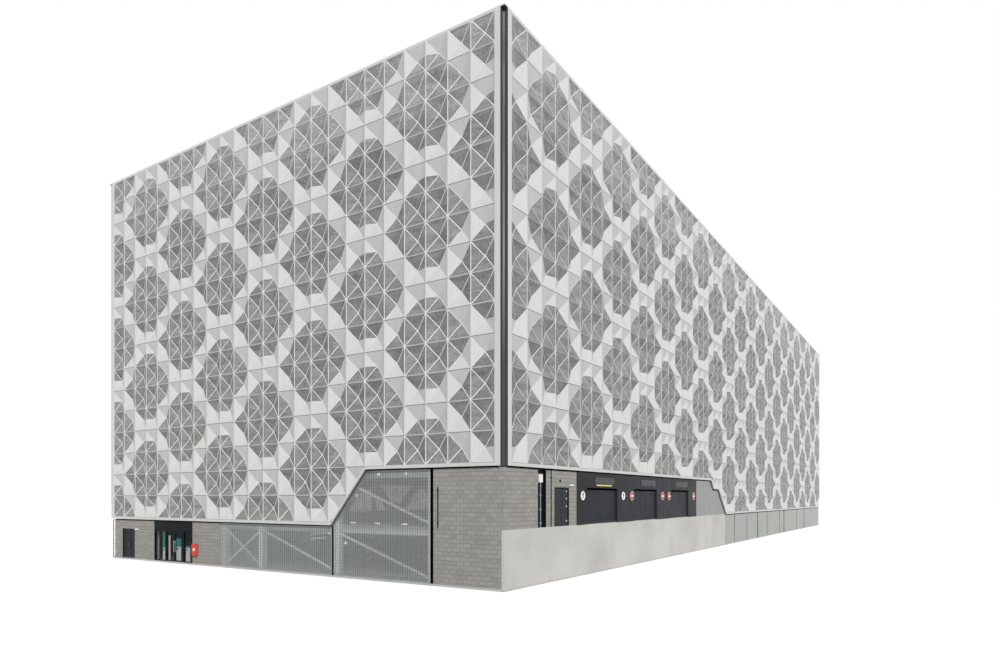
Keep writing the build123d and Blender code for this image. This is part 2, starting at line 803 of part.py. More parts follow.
with BuildPart() as lobby_door_left:
    add_lobby_leaf(*lobby_leaves[0])
save(lobby_door_left.part, "lobby_door_left")

with BuildPart() as lobby_door_left_pane:
    add_lobby_pane(*lobby_leaves[0])
save(lobby_door_left_pane.part, "lobby_door_left_pane")

with BuildPart() as lobby_door_right:
    add_lobby_leaf(*lobby_leaves[1])
save(lobby_door_right.part, "lobby_door_right")

with BuildPart() as lobby_door_right_pane:
    add_lobby_pane(*lobby_leaves[1])
save(lobby_door_right_pane.part, "lobby_door_right_pane")

# Red cabinet on the blockwork beside the lobby
cabinet_depth = 12.0
with BuildPart() as wall_cabinet:
    add_block(west, along_west(17.2), along_west(16.8), level(17.6), level(17.08),
              wall_face - cabinet_depth, wall_face)
save(wall_cabinet.part, "wall_cabinet")
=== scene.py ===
# %% [markdown]
# # A multi storey car park behind folded metal screens
# The model is one tenth of the real size. The CAD part gives every wall, deck, column and
# door. This lesson dresses it: thin folded screens take the place of the thick ones, welded
# wire takes the place of the plain mesh sheets, and every surface gets its own finish.

import json
import math

import bmesh
import bpy
from mathutils import Matrix, Vector


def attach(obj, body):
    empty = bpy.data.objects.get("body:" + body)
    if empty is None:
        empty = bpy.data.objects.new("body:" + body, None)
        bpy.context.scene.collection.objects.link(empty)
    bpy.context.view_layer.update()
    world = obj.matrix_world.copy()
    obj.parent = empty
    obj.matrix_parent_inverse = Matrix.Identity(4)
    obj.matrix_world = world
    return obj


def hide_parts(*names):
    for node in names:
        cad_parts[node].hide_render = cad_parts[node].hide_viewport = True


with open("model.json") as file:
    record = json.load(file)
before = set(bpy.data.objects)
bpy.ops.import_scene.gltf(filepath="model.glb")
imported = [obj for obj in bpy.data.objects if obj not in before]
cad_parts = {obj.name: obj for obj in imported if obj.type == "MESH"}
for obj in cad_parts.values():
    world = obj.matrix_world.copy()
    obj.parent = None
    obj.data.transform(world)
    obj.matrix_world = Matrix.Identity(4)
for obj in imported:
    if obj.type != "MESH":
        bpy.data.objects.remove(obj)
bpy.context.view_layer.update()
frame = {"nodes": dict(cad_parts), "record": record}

# %% [markdown]
# ## How places are given
# The folded panels divide both streets' walls into columns and rows, so they make a good
# ruler. A place on a wall is a number of panels from the corner, a number of rows below the
# top of the screen, and a depth in metres behind the face of the screen. One matrix for each
# side turns such a place into metres in the room.

# %% The ruler
panel_width = 0.1387
panel_height = 0.15
fold_depth = 0.0225
corner_margin = 0.057
rows_to_ground = 18
long_side_panels = 64
short_side_panels = 24
upper_rows = 14
lowest_row = 16

half_length = (2 * corner_margin + long_side_panels * panel_width) / 2
half_width = (2 * corner_margin + short_side_panels * panel_width) / 2


def from_columns(*columns):
    """A matrix from its three axes and its place."""
    matrix = Matrix.Identity(4)
    for number, column in enumerate(columns):
        matrix.col[number][:3] = column
    return matrix


def side_matrix(corner, across, outward):
    """Columns are a panel along the wall, a row down, a metre out of the wall."""
    start = Vector(corner) + Vector(across) * corner_margin
    start += Vector((0, 0, rows_to_ground * panel_height))
    return from_columns(Vector(across) * panel_width, (0, 0, -panel_height), outward, start)


sides = {
    "south": side_matrix((-half_length, -half_width, 0), (1, 0, 0), (0, -1, 0)),
    "west": side_matrix((-half_length, -half_width, 0), (0, 1, 0), (-1, 0, 0)),
    "north": side_matrix((-half_length, half_width, 0), (1, 0, 0), (0, 1, 0)),
    "east": side_matrix((half_length, -half_width, 0), (0, 1, 0), (1, 0, 0)),
}
print("Sides", list(sides))

# %% [markdown]
# ## Shader maths in plain Python
# Every finish here is worked out from the place on the object, in metres. A number that
# changes over a surface is wrapped in a small class, so that a sum such as `1 - mask` adds
# its Math nodes by itself. Every other node comes from one method, `add`, and `paint` lays
# one colour after another over a finish.


# %% Numbers that change over a surface
def maths(operation, swapped=False):
    """A method that adds one Math node. swapped puts the value itself last."""

    def method(self, *others):
        inputs = (*others, self) if swapped else (self, *others)
        return self.nodes.add("Math", {"operation": operation}, dict(enumerate(inputs)))

    return method


class Value:
    """An output of a node, with sums that add Math nodes."""

    def __init__(self, nodes, socket):
        self.nodes = nodes
        self.socket = socket

    __add__ = __radd__ = maths("ADD")
    __sub__, __rsub__ = maths("SUBTRACT"), maths("SUBTRACT", swapped=True)
    __mul__, __truediv__ = maths("MULTIPLY"), maths("DIVIDE")
    __lt__, __gt__ = maths("LESS_THAN"), maths("GREATER_THAN")
    __abs__, whole, part = maths("ABSOLUTE"), maths("FLOOR"), maths("FRACT")
    least, most = maths("MINIMUM"), maths("MAXIMUM")

    def to_edge(self):
        """How far a repeating number is from its nearest whole number."""
        rest = self.part()
        return rest.least(1 - rest)


# %% Nodes of a tree, and a finish
class Nodes:
    """The nodes of one tree, added one by one."""

    def __init__(self, tree):
        self.tree = tree

    def feed(self, socket, value):
        if isinstance(value, Value):
            self.tree.links.new(value.socket, socket)
        else:
            socket.default_value = value

    def add(self, kind, settings=None, sockets=None, output=0):
        """A node with its settings first and then its sockets' values or links."""
        node = self.tree.nodes.new("ShaderNode" + kind)
        for name, value in (settings or {}).items():
            setattr(node, name, value)
        for key, value in (sockets or {}).items():
            self.feed(node.inputs[key], value)
        return Value(self, node.outputs[output])

    def split(self, vector):
        """The three numbers of a place or direction."""
        first = self.add("SeparateXYZ", None, {0: vector})
        return [Value(self, number) for number in first.socket.node.outputs]


class Finish(Nodes):
    """A material that knows the place on the object, in metres."""

    def __init__(self, name, colour, roughness, metallic=0.0):
        self.material = bpy.data.materials.new(name)
        self.material.use_nodes = True
        super().__init__(self.material.node_tree)
        self.shader = self.tree.nodes["Principled BSDF"]
        self.colour = (*colour, 1.0)
        self.painted = self.colour
        self.set("Base Color", self.colour)
        self.set("Roughness", roughness)
        self.set("Metallic", metallic)
        self.place = self.add("TexCoord", output="Object")
        self.x, self.y, self.z = self.split(self.place)

    def set(self, socket, value):
        self.feed(self.shader.inputs[socket], value)

    def mix(self, share, first, second):
        """The first colour where share is 0 and the second where it is 1."""
        rgb = {"data_type": "RGBA"}
        return self.add("Mix", rgb, {0: share, 6: first, 7: second}, output=2)

    def paint(self, share, tone):
        """Lays a tone over what is painted already, where share is 1."""
        self.painted = self.mix(share, self.painted, tone)
        self.set("Base Color", self.painted)

    def noise(self, scale, detail=3.0, stretch=(1, 1, 1)):
        """Soft random numbers round one half, finer with a larger scale."""
        place = self.add("VectorMath", {"operation": "MULTIPLY"}, {0: self.place, 1: stretch})
        sockets = {"Vector": place, "Scale": scale, "Detail": detail}
        return self.add("TexNoise", None, sockets)

    def ramp(self, value, low, high):
        """A number stretched so that low becomes 0 and high becomes 1."""
        sockets = {"Value": value, "From Min": low, "From Max": high}
        return self.add("MapRange", None, sockets)

    def glow(self, strength):
        """Light of its own in the finish's colour: for lamps, and as painted light on parts
        that are no lamps.
        """
        self.set("Emission Color", self.colour)
        self.set("Emission Strength", strength)

    def raise_surface(self, height, distance, strength=1.0):
        """A bump of so many metres where height is 1."""
        sockets = {"Height": height, "Distance": distance, "Strength": strength}
        self.set("Normal", self.add("Bump", None, sockets))

    def facing(self):
        """1 where a wall faces along the short way, and 0 where it faces along the long way."""
        sideways, endways = self.split(self.add("TexCoord", output="Normal"))[:2]
        return abs(sideways) < abs(endways)

    def along_wall(self):
        """Metres along a wall, whichever way it faces."""
        long_wall = self.facing()
        return self.x * long_wall + self.y * (1 - long_wall)

    def on_panels(self):
        """The place on a screen in panels along and rows up, each from a corner of a panel."""
        long_wall = self.facing()
        from_west = self.x + (half_length - corner_margin)
        from_south = self.y + (half_width - corner_margin)
        along = from_west * long_wall + from_south * (1 - long_wall)
        return along / panel_width, self.z / panel_height


def grey(value):
    return (value, value, value)


print("Shader tools ready")

# %% [markdown]
# ## Helpers for shapes
# A small solid on a wall is a cube that one matrix stretches and moves to its place, and a
# round one is a cone with two equal ends. Closed shapes get their normals worked out again
# at the end, because two of the side matrices mirror. Each piece is built up in a bmesh
# named `mesh`, and the finished piece keeps its object at the origin.


# %% Shapes on a wall
def on_side(side, panels, rows, behind):
    """The matrix that turns a unit cube into a block between those limits."""
    middle = Vector((sum(panels) / 2, sum(rows) / 2, -sum(behind) / 2))
    sizes = (panels[1] - panels[0], rows[1] - rows[0], behind[1] - behind[0], 1)
    return sides[side] @ Matrix.Translation(middle) @ Matrix.Diagonal(sizes)


def around(middle, reach):
    """The two limits of something that reaches equally far to both sides."""
    return middle - reach, middle + reach


def in_front(surface, reach, start=0.0):
    """Depths of something that stands out from a surface, from start to reach."""
    return surface - reach, surface - start


def paint_faces(made, material):
    """Gives the faces of a new shape one of the piece's finishes, by its number."""
    for face in {face for vert in made["verts"] for face in vert.link_faces}:
        face.material_index = material


def add_cube(mesh, place, material=0):
    paint_faces(bmesh.ops.create_cube(mesh, size=1.0, matrix=place), material)


def add_block(mesh, side, panels, rows, behind, material=0):
    add_cube(mesh, on_side(side, panels, rows, behind), material)


def add_rod(mesh, place, radius, length, material, segments):
    """A round bar along the Z axis of its place."""
    made = bmesh.ops.create_cone(mesh, cap_ends=True, segments=segments, radius1=radius,
                                 radius2=radius, depth=length, matrix=place)
    paint_faces(made, material)


def add_disc(mesh, side, panel, row, radius, behind, material=0, segments=24):
    """A round plate or button on a wall, its axis straight out of the wall."""
    spot = sides[side] @ Vector((panel, row, -sum(behind) / 2))
    outward = sides[side].col[2].xyz
    turn = outward.to_track_quat("Z", "Y").to_matrix().to_4x4()
    add_rod(mesh, Matrix.Translation(spot) @ turn, radius, behind[1] - behind[0],
            material, segments)


def add_pipe(mesh, side, panel, rows, radius, behind, material=0):
    """A round upright pipe whose middle is so far behind the screen's face."""
    top, foot = (sides[side] @ Vector((panel, row, -behind)) for row in rows)
    add_rod(mesh, Matrix.Translation((top + foot) / 2), radius, (top - foot).length,
            material, segments=16)


def add_object(name, data):
    """A new object at the origin, linked to the scene."""
    made = bpy.data.objects.new(name, data)
    bpy.context.scene.collection.objects.link(made)
    return made


def add_mesh_object(name, mesh, finishes):
    """An object from a bmesh, which is freed."""
    data = bpy.data.meshes.new(name)
    mesh.to_mesh(data)
    mesh.free()
    for finish in finishes:
        data.materials.append(finish.material)
    return add_object(name, data)


def finish_piece(name, mesh, finishes, body="building", replaces=(), closed=True):
    """Turns a bmesh into an object that rides on a body of the frame."""
    if closed:
        bmesh.ops.recalc_face_normals(mesh, faces=mesh.faces)
    piece = add_mesh_object(name, mesh, finishes)
    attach(piece, body)
    if replaces:
        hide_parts(*replaces)
    print(name, len(piece.data.polygons), "faces")
    return piece


# %% [markdown]
# ## Camera
# The picture was taken from the street, low down and close to the corner, with a wide lens.
# The camera is level, and the lens is shifted up so that the walls' uprights stay upright.

# %% Camera
camera_place = (-7.075, -3.450, 0.436)
camera_turn = math.radians(-58.489)
camera_data = bpy.data.cameras.new("street_camera")
camera_data.lens = 24.357
camera_data.sensor_width = 36.0
camera_data.shift_x = -0.03224
camera_data.shift_y = 0.16415
camera = add_object("street_camera", camera_data)
camera.location = camera_place
camera.rotation_euler = (math.radians(90), 0, camera_turn)
bpy.context.scene.camera = camera
bpy.context.scene.view_settings.view_transform = "Standard"
print("Camera", camera_place)

# %% [markdown]
# ## Light and floor
# A low sun stands behind the camera, halfway between the two streets' walls, so the folds
# show by their shade. The rest of the light is even and soft. The floor and the backdrop
# show as white only to the camera and in reflections, and the floor keeps the shadow.

# %% Sun and sky
sky_level = 0.33
sun_level, sun_softness = 3.3, 5
back_sun_level, back_sun_softness = 1.6, 40
towards_street_sun = (-0.28, -0.315, 0.265)
towards_back_sun = (0.4, 0.5, 0.5)
white = (1, 1, 1, 1)


def add_sun(name, towards_sun, strength, softness):
    """A sun whose softness is the width of its disc in degrees."""
    lamp = bpy.data.lights.new(name, "SUN")
    lamp.energy = strength
    lamp.angle = math.radians(softness)
    sun = add_object(name, lamp)
    sun.rotation_mode = "QUATERNION"
    sun.rotation_quaternion = Vector(towards_sun).to_track_quat("Z", "Y")


add_sun("street_sun", towards_street_sun, sun_level, sun_softness)
add_sun("back_sun", towards_back_sun, back_sun_level, back_sun_softness)


def shown_directly(nodes):
    """1 for rays from the camera, in reflections and through glass."""
    seen, mirrored, through_glass = (
        nodes.add("LightPath", output=f"Is {ray} Ray")
        for ray in ("Camera", "Glossy", "Transmission"))
    return seen.most(mirrored).most(through_glass)


world = bpy.data.worlds.new("studio")
bpy.context.scene.world = world
world.use_nodes = True
sky = Nodes(world.node_tree)
background = world.node_tree.nodes["Background"].inputs
sky.feed(background["Color"], white)
sky.feed(background["Strength"], shown_directly(sky) * (1 - sky_level) + sky_level)
print("Sky", sky_level, "and suns", sun_level, back_sun_level)

# %% Floor
floor_size = 60.0
floor_drop = 0.001
floor_lift = 0.58
floor_tone = grey(0.52)

floor_paint = Finish("floor_paint", floor_tone, roughness=1.0)
floor_paint.set("Specular IOR Level", 0.0)
floor_paint.set("Emission Color", white)
floor_paint.set("Emission Strength", shown_directly(floor_paint) * floor_lift)

floor_mesh = bmesh.new()
bmesh.ops.create_grid(floor_mesh, x_segments=1, y_segments=1, size=floor_size)
bmesh.ops.translate(floor_mesh, verts=floor_mesh.verts, vec=(0, 0, -floor_drop))
add_mesh_object("floor", floor_mesh, [floor_paint])
print("Floor and light ready")

# %% [markdown]
# ## The folded sheet metal
# The screens are pale coated aluminium. Plain facets have very fine upright ribs and a dark
# joint between rows, and on the short walls a faint blue painted reflection of the sky beside
# the uprights. Perforated facets are painted much darker: their colour is painted shade for
# the shade behind the sheet seen through the holes, and some of it also shows through for
# real, but their folds and edges stay unperforated and bright. The holes are too fine to draw
# at this size, so the sheet lets a steady share of light through, with a faint dot pattern.

# %% Sheet finishes
sheet_tone = (0.595, 0.60, 0.585)
sheet_roughness = 0.55
sheet_shine = 0.3
dirt_tone = (0.30, 0.29, 0.27, 1)
dirt_share = 0.10
streak_scale, streak_stretch = 6.0, (5, 5, 0.4)
lip_height = 0.0075
lip_tone = (0.66, 0.665, 0.66, 1)


def sheet_finish(name):
    finish = Finish(name, sheet_tone, sheet_roughness)
    finish.set("Specular IOR Level", sheet_shine)
    return finish


def add_weather(finish):
    """Faint upright streaks of dirt, and a slow change of tone."""
    streaks = finish.noise(streak_scale, detail=4.0, stretch=streak_stretch)
    finish.paint(finish.ramp(streaks, 0.42, 0.75) * dirt_share, dirt_tone)


def on_lip(rows):
    """1 on the bright edge of the sheet, just under the coping."""
    return rows * panel_height > rows_to_ground * panel_height - lip_height


print("Sheet tone", sheet_tone, "and lip", lip_height)

# %% Plain facets
rib_pitch = 0.008
rib_height = 0.0008
rib_line = 0.12
rib_shade = 0.14
rib_bump = 0.5
joint_half_width = 0.0017
joint_tone = (*grey(0.13), 1)
painted_reflection_reach = 0.17
painted_reflection_share = 0.6
painted_reflection_tone = (0.45, 0.47, 0.58, 1)
black = (0, 0, 0, 1)

plain_sheet = sheet_finish("plain_sheet")
panels, rows = plain_sheet.on_panels()
lip = on_lip(rows)
joint = (rows.to_edge() * panel_height < joint_half_width) * (1 - lip)
to_rib = (panels * panel_width / rib_pitch).to_edge()
short_wall = 1 - plain_sheet.facing()
# Painted reflection: a faint blue tint of the sky painted on the facets beside the uprights of
# the short walls.
painted_reflection = plain_sheet.ramp(panels.part(), painted_reflection_reach, 0) * short_wall * painted_reflection_share
add_weather(plain_sheet)
plain_sheet.paint((to_rib < rib_line) * rib_shade, black)
plain_sheet.paint(painted_reflection, painted_reflection_tone)
plain_sheet.paint(lip, lip_tone)
plain_sheet.paint(joint, joint_tone)
plain_sheet.raise_surface(to_rib * 2 * (1 - joint), rib_height, strength=rib_bump)
print("Plain facets: ribs every", rib_pitch)

# %% Perforated facets
upright_strip = 0.0032
diagonal_strip = 0.0016
level_strip = 0.0028
long_wall_upright_less = 0.0008
long_wall_level_less = 0.0012
strip_height = 0.0006
hole_pitch = 0.004
hole_radius = 0.3
hole_cover = 0.37
metal_cover = 0.755
roof_row = 2.6
parapet_cover = 0.83
deep_painted_shade = (0.185, 0.186, 0.178, 1)
pale_painted_shade = (0.435, 0.434, 0.420, 1)
level_tone = (0.48, 0.48, 0.47, 1)
strip_tone = (0.64, 0.645, 0.65, 1)
sunlit_strip_tone = (0.97, 0.97, 0.95, 1)
speckle_scale = 110.0
inside_scale = 9.0
inside_stretch = (1, 1, 4)

perforated = sheet_finish("perforated_sheet")
panels, rows = perforated.on_panels()
diagonal_scale = panel_width * panel_height / math.hypot(panel_width, panel_height)
first_diagonal = abs(panels.part() - rows.part())
second_diagonal = abs(panels.part() + rows.part() - 1)
on_first = first_diagonal * diagonal_scale < diagonal_strip
on_second = second_diagonal * diagonal_scale < diagonal_strip
long_wall = perforated.facing()
upright_reach = upright_strip - long_wall * long_wall_upright_less
on_upright = panels.to_edge() * panel_width < upright_reach
on_level = rows.to_edge() * panel_height < level_strip - long_wall * long_wall_level_less
sunlit = on_first.most(on_second * (1 - long_wall)) * (1 - on_upright)
strip = on_first.most(on_second).most(on_upright)
lip = on_lip(rows)
solid = strip.most(on_level).most(lip)
hole_across = (panels * panel_width / hole_pitch).part() - 0.5
hole_up = (rows * panel_height / hole_pitch).part() - 0.5
hole = hole_across * hole_across + hole_up * hole_up < hole_radius ** 2

# %% Painted shade for what shows through the holes
# Painted shade: the perforated sheet's colour is dark, speckled and streaked like the inside
# seen through the holes, while its alpha also lets the real inside show.
speckle = perforated.ramp(perforated.noise(speckle_scale), 0.38, 0.62)
inside = perforated.noise(inside_scale, stretch=inside_stretch)
depth = speckle * 0.5 + perforated.ramp(inside, 0.35, 0.65) * 0.5
perforated.painted = perforated.mix(depth, deep_painted_shade, pale_painted_shade)
add_weather(perforated)
perforated.paint(on_level, level_tone)
perforated.paint(strip, perforated.mix(sunlit, strip_tone, sunlit_strip_tone))
perforated.paint(lip, lip_tone)
cover = metal_cover - hole * (metal_cover - hole_cover)
above_roof = rows > rows_to_ground - roof_row
cover = cover.most(above_roof * parapet_cover)
perforated.set("Alpha", cover.most(solid))
perforated.raise_surface(solid, strip_height)
print("Perforated facets: holes every", hole_pitch)

# %% [markdown]
# ## How the screens are folded
# Each panel is an upside-down pyramid: four facets that meet in a point behind the sheet.
# A grid with one face for each panel is laid on the wall, and `poke` pushes the middle of
# every face inwards, which makes all four facets at once. The perforated ones follow a
# large hexagon, four panels wide and three high, that repeats in a staggered pattern and is
# mirrored about the corner. Two facets of some panels are perforated on one half only, so
# these are cut level through their point first.

# %% Which facets are perforated
motif_columns = 3
motif_rows = 2
hexagon_reach = 2.0
hexagon_half_height = 1.5


def from_motif(panel, row):
    """The place seen from the middle of the nearest hexagon."""
    near_row, near_column = round(row / motif_rows), round(panel / motif_columns)
    places = [(panel - column_step * motif_columns, row - row_step * motif_rows)
              for row_step in range(near_row - 1, near_row + 2)
              for column_step in range(near_column - 1, near_column + 2)
              if (row_step + column_step) % 2 == 0]
    return min(places, key=lambda place: abs(place[0]) + abs(place[1]))


def is_perforated(panel, row):
    across, down = from_motif(panel, row)
    return abs(across) + abs(down) < hexagon_reach and abs(down) < hexagon_half_height


def is_split(panel, row):
    """Facets beside the hexagon's level edges are cut through their point."""
    across, down = from_motif(panel, row)
    beside = abs(across) < 0.5 and abs(abs(down) - hexagon_half_height) < 0.5
    left_or_right = abs(panel % 1 - 0.5) > abs(row % 1 - 0.5)
    return beside and left_or_right


print("Perforated at the pattern's start:", is_perforated(0.5, 0.2))


# %% A folded screen
sheet_thickness = 0.001
cut_tolerance = 1e-5
one_row_reach = 0.4


def along_line(place, first, first_height, last, last_height):
    """The height of a line at a place between its two ends."""
    share = (place - first) / (last - first)
    return first_height + share * (last_height - first_height)


def cut(mesh, faces, place, normal):
    """Cuts only these faces along a plane."""
    geometry = set(faces)
    for face in faces:
        geometry.update(face.edges)
        geometry.update(face.verts)
    bmesh.ops.bisect_plane(mesh, geom=list(geometry), dist=cut_tolerance, plane_co=place,
                           plane_no=normal)


def add_screen(side, columns, rows, lower_edge=()):
    """A folded sheet. lower_edge gives points of a line below which nothing is kept."""
    name = side + "_lower" if lower_edge else side
    turn = sides[side]
    back = turn.inverted()
    mesh = bmesh.new()
    across, down = columns[1] - columns[0], rows[1] - rows[0]
    middle = Vector((sum(columns) / 2, sum(rows) / 2, 0))
    bmesh.ops.create_grid(mesh, x_segments=across, y_segments=down, size=0.5)
    grow = Matrix.Translation(middle) @ Matrix.Diagonal((across, down, 1, 1))
    bmesh.ops.transform(mesh, matrix=turn @ grow, verts=mesh.verts)
    mesh.normal_update()
    mesh.faces.ensure_lookup_table()
    if mesh.faces[0].normal.dot(turn.col[2].xyz) < 0:
        bmesh.ops.reverse_faces(mesh, faces=mesh.faces)
    bmesh.ops.poke(mesh, faces=mesh.faces, offset=-fold_depth)

    def spot(face):
        return (back @ face.calc_center_median()).xy

    for row in range(*rows):
        level = row + 0.5
        halved = [face for face in mesh.faces
                  if abs(spot(face).y - level) < one_row_reach and is_split(*spot(face))]
        cut(mesh, halved, turn @ Vector((0, level, 0)), Vector((0, 0, 1)))
    for start, end in zip(lower_edge, lower_edge[1:]):
        near = [face for face in mesh.faces
                if start[0] - 1 < spot(face).x < end[0] + 1]
        line = turn @ Vector((*end, 0)) - turn @ Vector((*start, 0))
        cut(mesh, near, turn @ Vector((*start, 0)), line.cross(turn.col[2].xyz))

    def is_below(face):
        panel, row = spot(face)
        if panel < lower_edge[0][0]:
            return True
        for start, end in zip(lower_edge, lower_edge[1:]):
            if start[0] <= panel <= end[0]:
                return row > along_line(panel, *start, *end)
        return False

    if lower_edge:
        bmesh.ops.delete(mesh, geom=[face for face in mesh.faces if is_below(face)],
                         context="FACES")
    for face in mesh.faces:
        face.material_index = int(is_perforated(*spot(face)))
    screen = finish_piece(name + "_screen", mesh, (plain_sheet, perforated),
                          replaces=[name + "_cladding"], closed=False)
    gauge = screen.modifiers.new("sheet_gauge", "SOLIDIFY")
    gauge.thickness = sheet_thickness
    gauge.offset = -1
    gauge.use_even_offset = True


# %% The six screens
south_step = [(22.6, 14), (23.2, 14.5), (24.2, 14.5), (26, 16)]
west_slope = [(6, 14), (7.9, 16)]
south_lower_start, west_lower_start = 22, 6

add_screen("south", (0, long_side_panels), (0, upper_rows))
add_screen("west", (0, short_side_panels), (0, upper_rows))
add_screen("north", (0, long_side_panels), (0, lowest_row))
add_screen("east", (0, short_side_panels), (0, lowest_row))
add_screen("south", (south_lower_start, long_side_panels), (upper_rows, lowest_row),
           south_step)
add_screen("west", (west_lower_start, short_side_panels), (upper_rows, lowest_row),
           west_slope)

# %% [markdown]
# ## Masonry and concrete
# The walls at street level are fair-faced blocks in half bond. Courses and blocks are worked
# out from the place on the wall, and each block gets a tone of its own from its number.
# The decks are cast concrete, and the roof deck has painted bays.

# %% Blockwork
block_length = 0.044
course_height = 0.0215
mortar_half_width = 0.0009
mortar_tone = (0.20, 0.195, 0.185, 1)
dark_block, pale_block = (0.270, 0.257, 0.238, 1), (0.325, 0.314, 0.293, 1)
grain_tone = (0.16, 0.152, 0.142, 1)
grain_scale, grain_share, grain_bump = 260.0, 0.25, 0.4
mortar_depth = 0.0008

blockwork = Finish("grey_blockwork", (0.30, 0.288, 0.268), roughness=0.9)
course = blockwork.z / course_height
shift = (course.whole() * 0.5).part()
block = blockwork.along_wall() / block_length + shift
number = blockwork.add("CombineXYZ", None, {0: block.whole(), 1: course.whole()})
tone = blockwork.add("TexWhiteNoise", None, {"Vector": number})
grain = blockwork.noise(grain_scale, detail=4.0)
level_joint = course.to_edge() * course_height < mortar_half_width
upright_joint = block.to_edge() * block_length < mortar_half_width
mortar = level_joint.most(upright_joint)
blockwork.painted = blockwork.mix(tone, dark_block, pale_block)
blockwork.paint(blockwork.ramp(grain, 0.3, 0.8) * grain_share, grain_tone)
blockwork.paint(mortar, mortar_tone)
blockwork.raise_surface(grain * grain_bump + (1 - mortar), mortar_depth)
print("Blocks", block_length, "by", course_height)

# %% Concrete
bay_width = 0.24
bay_line_half_width = 0.005
bay_rows = ((1.14, 1.62), (-0.48, 0.48), (-1.62, -1.14))
bay_line_tone = (0.75, 0.75, 0.72, 1)
wear_scale, worn_below = 25.0, 0.36
patch_scale = 3.0
pore_scale, pore_share, pore_depth = 90.0, 0.35, 0.0004
pore_tone = (0.14, 0.14, 0.13, 1)


def concrete_finish(name, colour):
    finish = Finish(name, colour, roughness=0.85)
    patches = finish.ramp(finish.noise(patch_scale, detail=6.0), 0.35, 0.7)
    darker = tuple(0.8 * part for part in colour) + (1,)
    pores = finish.ramp(finish.noise(pore_scale), 0.62, 0.75)
    finish.paint(patches, darker)
    finish.paint(pores * pore_share, pore_tone)
    finish.raise_surface(1 - pores, pore_depth, strength=0.6)
    return finish


concrete = concrete_finish("cast_concrete", (0.50, 0.50, 0.485))
pale_concrete = concrete_finish("pale_concrete", (0.56, 0.55, 0.52))
roof_concrete = concrete_finish("roof_concrete", (0.38, 0.38, 0.37))
line = (roof_concrete.x / bay_width).to_edge() * bay_width < bay_line_half_width
in_bays = 0
for low, high in bay_rows:
    in_bays = (roof_concrete.y > low) * (roof_concrete.y < high) + in_bays
spine = abs(roof_concrete.y) < bay_line_half_width
left_over = roof_concrete.noise(wear_scale) > worn_below
roof_concrete.paint((line * in_bays).most(spine) * left_over, bay_line_tone)
print("Concrete finishes ready")

# %% [markdown]
# ## Painted and bare metals
# Columns and wire are galvanised, which gives zinc its cloudy flakes. The entrance wall,
# the shutters and the doors are dark coated steel, and the trims are white. The columns and
# the braces are painted paler than their metal, as painted sunlight.

# %% Metals
zinc_roughness, flake_roughness = 0.42, 0.16
dust_scale, dust_stretch = 14.0, (1, 1, 0.4)


def flaked_finish(name, colour, flake_scale):
    """Zinc on steel: each flake has its own shade."""
    finish = Finish(name, colour, roughness=0.5, metallic=0.4)
    flakes = finish.add("TexVoronoi", None, {"Vector": finish.place, "Scale": flake_scale},
                        output=1)
    brighter = tuple(1.2 * part for part in colour) + (1,)
    shade = finish.add("SeparateColor", None, {0: flakes})
    finish.paint(shade, brighter)
    finish.set("Roughness", zinc_roughness + shade * flake_roughness)
    return finish


def coated_finish(name, colour, roughness=0.4, dirt=0.15, shine=0.2):
    """Paint on metal with faint dust and streaks."""
    finish = Finish(name, colour, roughness)
    finish.set("Specular IOR Level", shine)
    dust = finish.ramp(finish.noise(dust_scale, 5.0, dust_stretch), 0.4, 0.8)
    dusty = tuple(0.8 * part + 0.02 for part in colour) + (1,)
    finish.paint(dust * dirt * 2, dusty)
    finish.set("Roughness", roughness + dust * dirt)
    return finish


broad_flakes, fine_flakes = 110.0, 220.0
galvanised = flaked_finish("galvanised_steel", (0.60, 0.62, 0.61), broad_flakes)
# Painted sunlight: the columns get a paler copy of the galvanised zinc.
column_zinc_with_painted_sunlight = flaked_finish("column_zinc_with_painted_sunlight", (0.74, 0.76, 0.75), broad_flakes)
frame_zinc = flaked_finish("frame_zinc", (0.27, 0.29, 0.28), broad_flakes)
wire_zinc = flaked_finish("wire_zinc", (0.47, 0.49, 0.48), fine_flakes)
stiff_zinc = flaked_finish("stiff_zinc", (0.19, 0.21, 0.21), fine_flakes)

# %% Painted metals
# Painted sunlight: the braces are painted much paler than galvanised steel, as if lit by the
# sun behind the mesh.
brace_with_painted_sunlight = coated_finish("brace_with_painted_sunlight", (0.86, 0.88, 0.87))
white_trim = coated_finish("white_trim", (0.585, 0.59, 0.58))
coping_metal = coated_finish("coping_metal", (0.64, 0.65, 0.645))
white_plastic = coated_finish("white_plastic", (0.78, 0.78, 0.76), roughness=0.3)
dark_metal = coated_finish("dark_metal", (0.0095, 0.0108, 0.013), shine=0.12)
channel_metal = coated_finish("channel_metal", (0.050, 0.052, 0.060))
pale_metal = coated_finish("pale_metal", (0.42, 0.44, 0.46))
pipe_metal = coated_finish("pipe_metal", (0.24, 0.26, 0.29))
door_steel = coated_finish("door_steel", (0.018, 0.021, 0.022), shine=0.12)
pale_panel = coated_finish("pale_panel", (0.265, 0.278, 0.262))
plinth_panel = coated_finish("plinth_panel", (0.335, 0.345, 0.325))
lobby_metal = coated_finish("lobby_metal", (0.004, 0.006, 0.008), dirt=0.04, shine=0.05)
